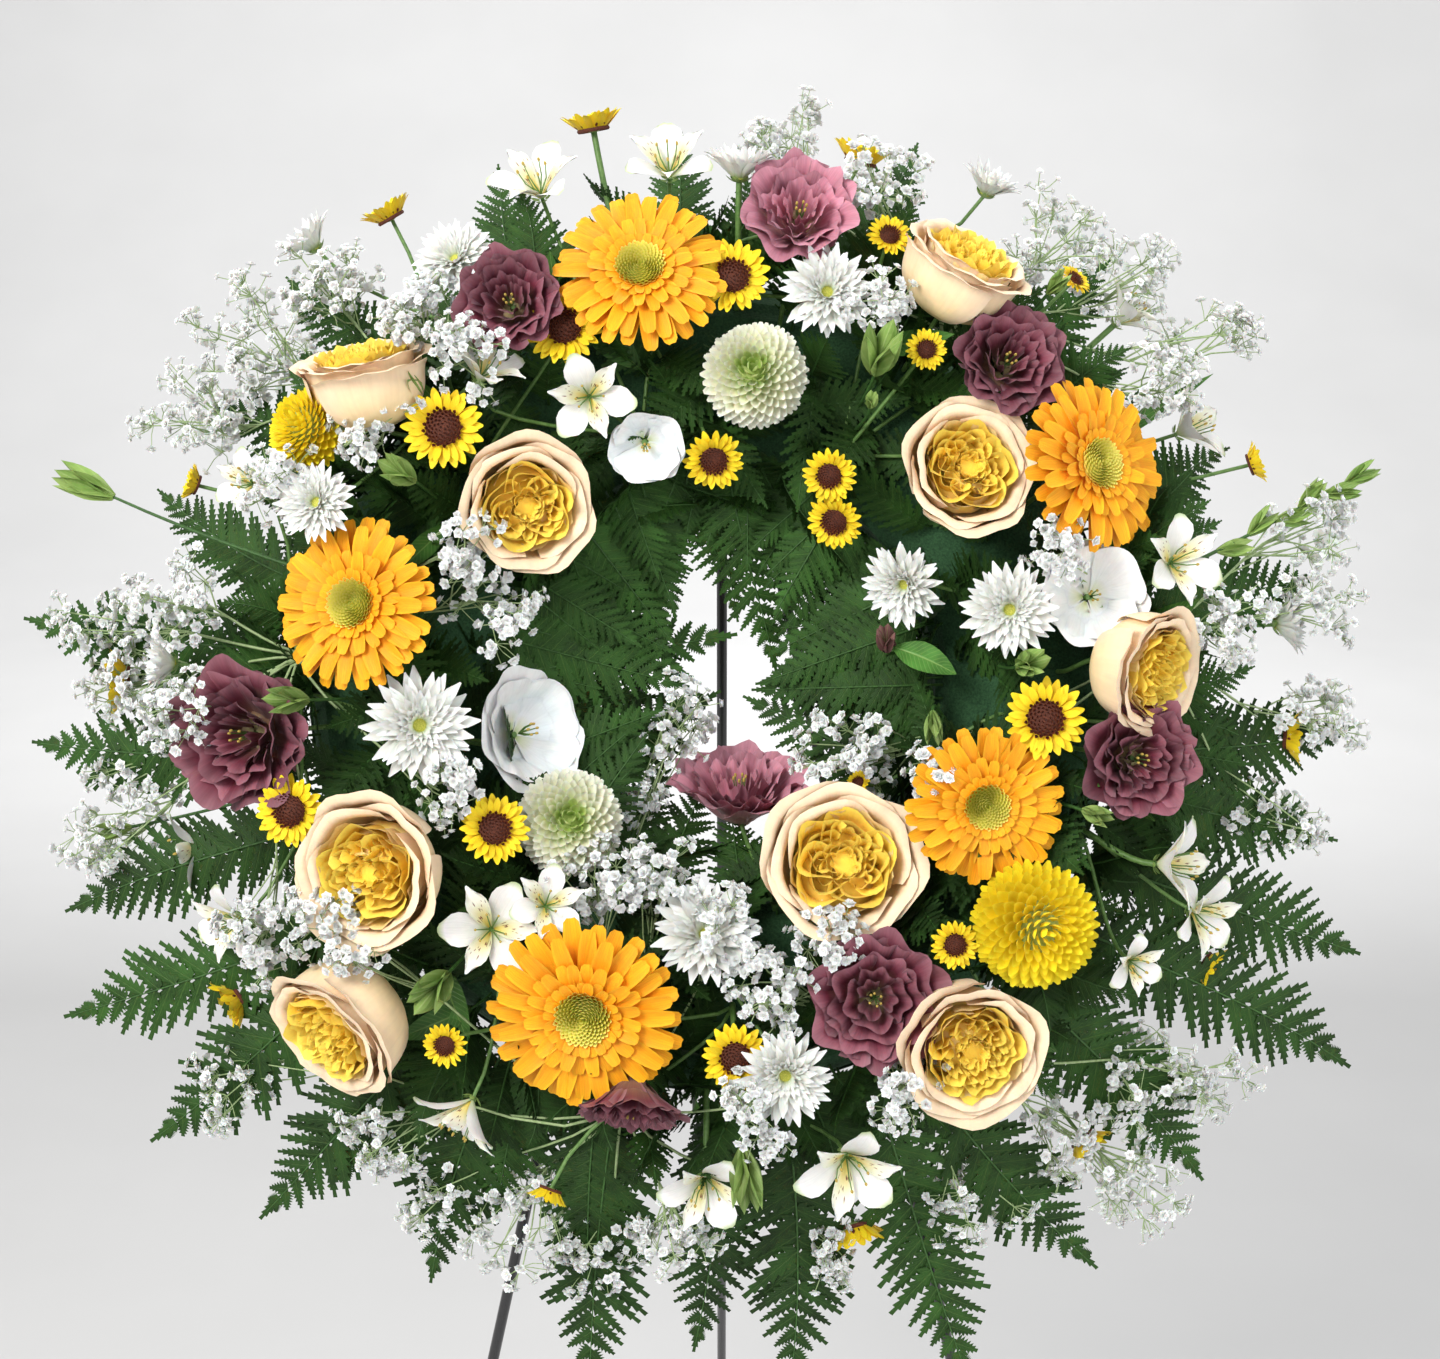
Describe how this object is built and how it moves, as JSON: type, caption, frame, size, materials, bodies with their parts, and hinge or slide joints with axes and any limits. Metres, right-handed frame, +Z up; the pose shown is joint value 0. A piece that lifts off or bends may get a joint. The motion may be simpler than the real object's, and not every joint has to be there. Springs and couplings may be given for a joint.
{
  "type": "funeral wreath on easel",
  "caption": "Funeral wreath of mixed fresh flowers, fern and baby's breath on a foam ring in a tray, hung on a folding wire easel with a hinged rear leg",
  "frame": {"origin": "On the floor, under the middle of the bounding box", "axes": "+Z up, -Y is the side that the flowers face, +X to the right for a viewer in front"},
  "size_m": [0.8358, 0.7316, 1.3708],
  "materials": {
    "foam": "matte",
    "tray": "satin",
    "wire": "satin",
    "rose": "matte",
    "gerbera": "matte",
    "lisianthus": "matte",
    "pompom": "matte",
    "pompom_yellow": "matte",
    "yellow_daisies": "matte",
    "white_daisies": "matte",
    "alstroemeria": "matte",
    "gypsophila": "matte",
    "greenery": "matte"
  },
  "bodies": {
    "wreath": {"foam_ring": "foam", "foam_tray": "tray", "easel_frame": "wire", "rose_1": "rose", "rose_2": "rose", "rose_3": "rose", "rose_4": "rose", "rose_5": "rose", "rose_6": "rose", "rose_7": "rose", "rose_8": "rose", "rose_9": "rose", "gerbera_1": "gerbera", "gerbera_2": "gerbera", "gerbera_3": "gerbera", "gerbera_4": "gerbera", "gerbera_5": "gerbera", "lisianthus_1": "lisianthus", "lisianthus_2": "lisianthus", "lisianthus_3": "lisianthus", "lisianthus_4": "lisianthus", "lisianthus_5": "lisianthus", "lisianthus_6": "lisianthus", "lisianthus_7": "lisianthus", "lisianthus_8": "lisianthus", "pompom_1": "pompom", "pompom_2": "pompom", "pompom_3": "pompom_yellow", "pompom_4": "pompom_yellow", "yellow_daisies_1": "yellow_daisies", "yellow_daisies_2": "yellow_daisies", "yellow_daisies_3": "yellow_daisies", "yellow_daisies_4": "yellow_daisies", "yellow_daisies_5": "yellow_daisies", "yellow_daisies_6": "yellow_daisies", "yellow_daisies_7": "yellow_daisies", "white_daisies_1": "white_daisies", "white_daisies_2": "white_daisies", "white_daisies_3": "white_daisies", "white_daisies_4": "white_daisies", "white_daisies_5": "white_daisies", "alstroemeria_1": "alstroemeria", "alstroemeria_2": "alstroemeria", "alstroemeria_3": "alstroemeria", "alstroemeria_4": "alstroemeria", "alstroemeria_5": "alstroemeria", "alstroemeria_6": "alstroemeria", "gypsophila_1": "gypsophila", "gypsophila_2": "gypsophila", "gypsophila_3": "gypsophila", "gypsophila_4": "gypsophila", "gypsophila_5": "gypsophila", "gypsophila_6": "gypsophila", "greenery_1": "greenery", "greenery_2": "greenery", "greenery_3": "greenery", "greenery_4": "greenery", "greenery_5": "greenery", "greenery_6": "greenery"},
    "rear_leg": {"easel_rear_leg": "wire"}
  },
  "joints": [
    {"name": "rear_leg_hinge", "type": "hinge", "parent": "wreath", "child": "rear_leg", "pos_m": [0.0125, -0.0261, 1.1947], "axis": [-1, 0, 0], "range_deg": [0, 33]}
  ]
}
